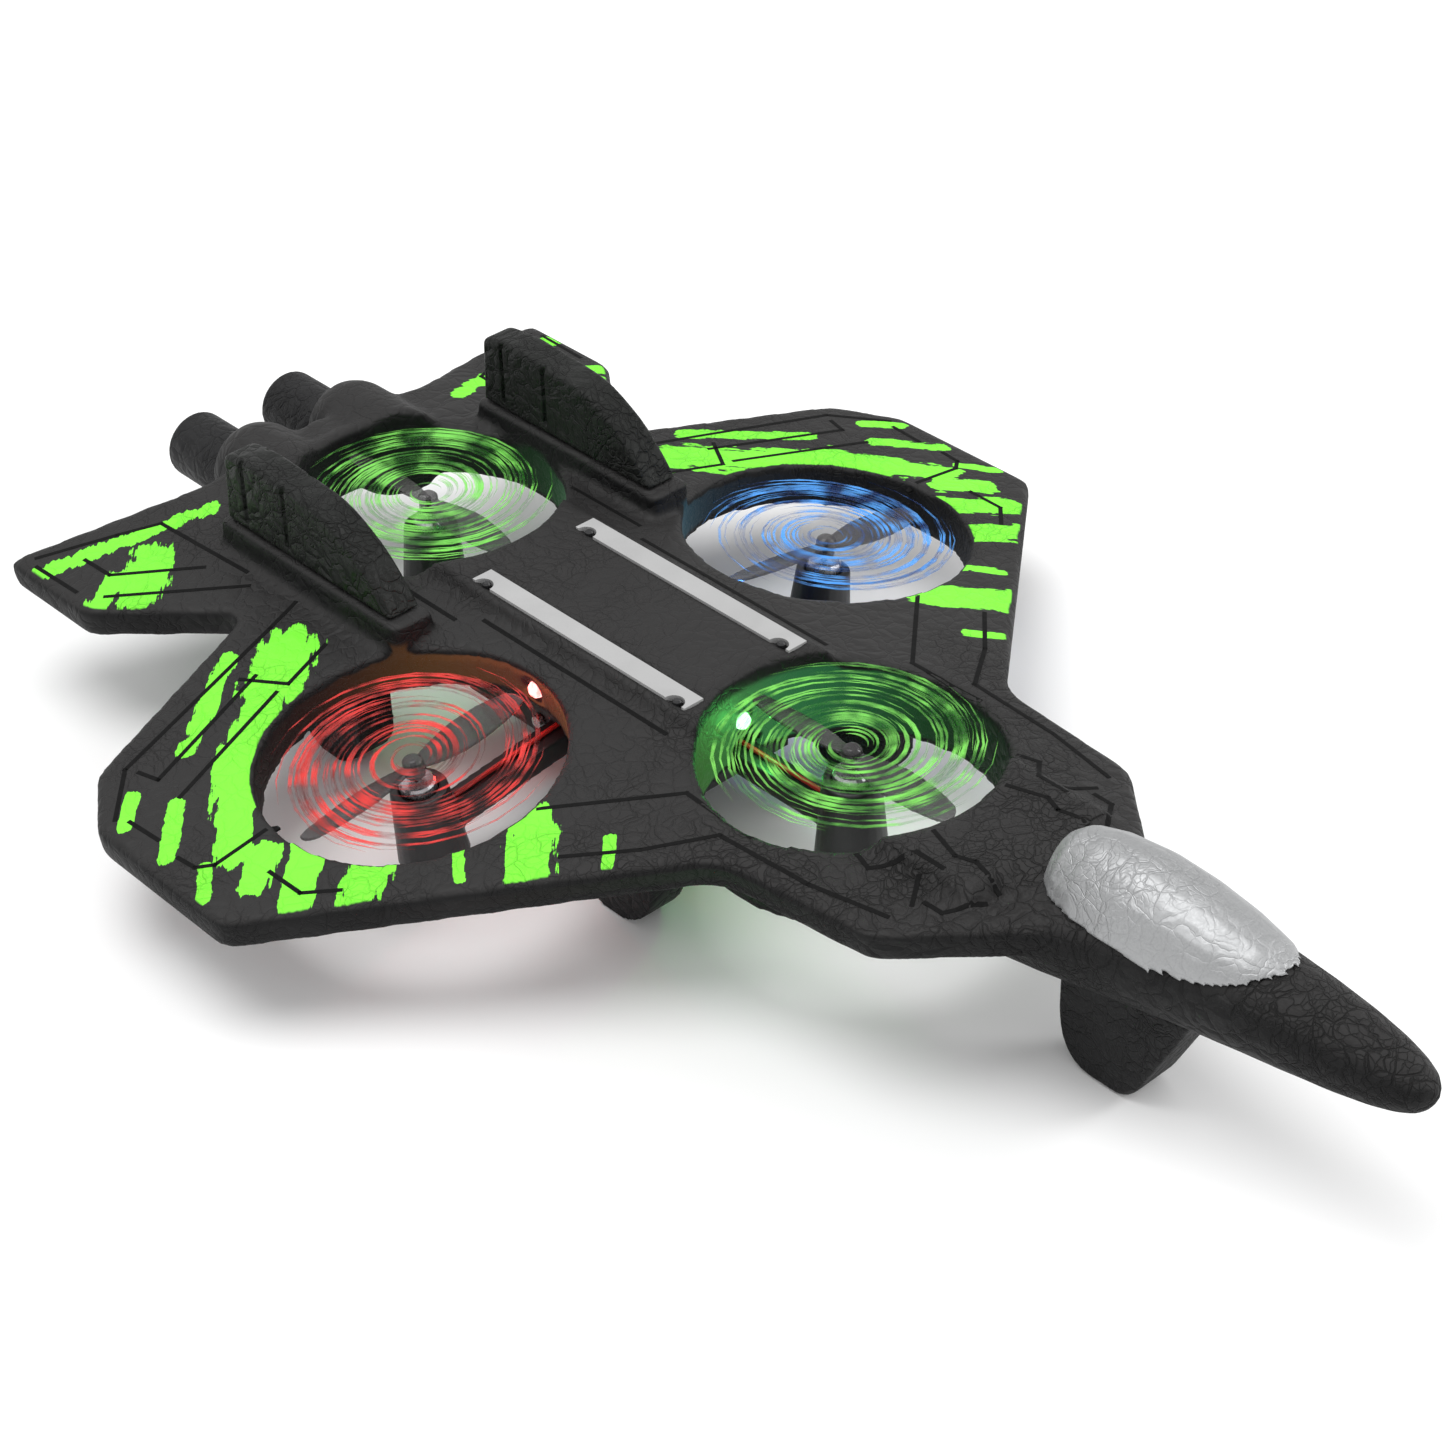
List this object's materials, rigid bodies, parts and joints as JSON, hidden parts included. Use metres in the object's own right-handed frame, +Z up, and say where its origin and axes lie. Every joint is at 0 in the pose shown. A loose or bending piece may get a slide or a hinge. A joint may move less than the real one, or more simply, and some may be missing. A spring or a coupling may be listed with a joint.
{
  "type": "rc flying wing",
  "caption": "Jet-shaped foam remote control flyer with four ducted propellers, twin fins, a silver canopy and round tail nozzles on a black chassis tray.",
  "frame": {"origin": "on the ground under the middle of the whole model", "axes": "+Z up, nose toward -Y, tail toward +Y, pilot left wing toward +X"},
  "size_m": [0.2496, 0.3808, 0.0652],
  "materials": {
    "foam_painted": "charcoal moulded foam with a leathery skin, lime paint streaks and black panel lines",
    "canopy_silver": "silver paint over crinkled foam, semi gloss",
    "fin_foam": "dark moulded foam, leathery skin",
    "nozzle_foam": "dark moulded foam, satin",
    "strip_grey": "light grey moulded strip, satin",
    "chassis_black": "black injection moulded, fine texture",
    "propeller_smoke": "smoky translucent moulding, glossy",
    "motor_can": "drawn can, brushed",
    "steel": "bright zinc plated",
    "lead_insulation": "red wire insulation",
    "battery_wrap": "heat shrink film around a pouch cell",
    "board_green": "green solder mask",
    "switch_black": "black moulded",
    "slider_grey": "light grey moulded",
    "skid_foam": "dense dark foam, scuffed on the sole",
    "led_green": "clear lens, lit from inside",
    "led_red": "clear lens, lit from inside",
    "led_blue": "clear lens, lit from inside"
  },
  "bodies": {
    "airframe": {"airframe_foam": "foam_painted", "arm_screw_front": "steel", "arm_screw_left": "steel", "arm_screw_rear": "steel", "arm_screw_right": "steel", "battery": "battery_wrap", "canopy": "canopy_silver", "chassis_tray": "chassis_black", "circuit_board": "board_green", "clip_post_left_front": "chassis_black", "clip_post_left_rear": "chassis_black", "clip_post_right_front": "chassis_black", "clip_post_right_rear": "chassis_black", "fin_left": "fin_foam", "fin_right": "fin_foam", "foot_front_left": "skid_foam", "foot_front_right": "skid_foam", "foot_rear_left": "skid_foam", "foot_rear_right": "skid_foam", "led_lens_front": "led_green", "led_lens_left": "led_blue", "led_lens_rear": "led_green", "led_lens_right": "led_red", "motor_front": "motor_can", "motor_holder_front": "chassis_black", "motor_holder_left": "chassis_black", "motor_holder_rear": "chassis_black", "motor_holder_right": "chassis_black", "motor_lead_front": "lead_insulation", "motor_lead_left": "lead_insulation", "motor_lead_rear": "lead_insulation", "motor_lead_right": "lead_insulation", "motor_left": "motor_can", "motor_rear": "motor_can", "motor_right": "motor_can", "nose_skid": "skid_foam", "nozzle_left": "nozzle_foam", "nozzle_right": "nozzle_foam", "power_switch_body": "switch_black", "stiffener_strip_left": "strip_grey", "stiffener_strip_right": "strip_grey"},
    "prop_front": {"propeller_front": "propeller_smoke", "motor_shaft_front": "steel"},
    "prop_rear": {"propeller_rear": "propeller_smoke", "motor_shaft_rear": "steel"},
    "prop_left": {"propeller_left": "propeller_smoke", "motor_shaft_left": "steel"},
    "prop_right": {"propeller_right": "propeller_smoke", "motor_shaft_right": "steel"},
    "battery_hatch": {"battery_door": "chassis_black"},
    "switch_knob": {"switch_slider": "slider_grey"}
  },
  "joints": [
    {"name": "prop_front_spin", "type": "hinge", "parent": "airframe", "child": "prop_front", "pos_m": [0, -0.0351, 0.0399], "axis": [0, 0, 1], "continuous": true},
    {"name": "prop_rear_spin", "type": "hinge", "parent": "airframe", "child": "prop_rear", "pos_m": [0, 0.1112, 0.0399], "axis": [0, 0, 1], "continuous": true},
    {"name": "prop_left_spin", "type": "hinge", "parent": "airframe", "child": "prop_left", "pos_m": [0.06365, 0.038, 0.0316], "axis": [0.1288, 0, 0.9917], "continuous": true},
    {"name": "prop_right_spin", "type": "hinge", "parent": "airframe", "child": "prop_right", "pos_m": [-0.06365, 0.038, 0.0316], "axis": [-0.1288, 0, 0.9917], "continuous": true},
    {"name": "battery_door_slide", "type": "slide", "parent": "airframe", "child": "battery_hatch", "axis": [0, 1, 0], "range_m": [0, 0.03]},
    {"name": "power_switch_slide", "type": "slide", "parent": "airframe", "child": "switch_knob", "axis": [0, 1, 0], "range_m": [0, 0.0024]}
  ]
}
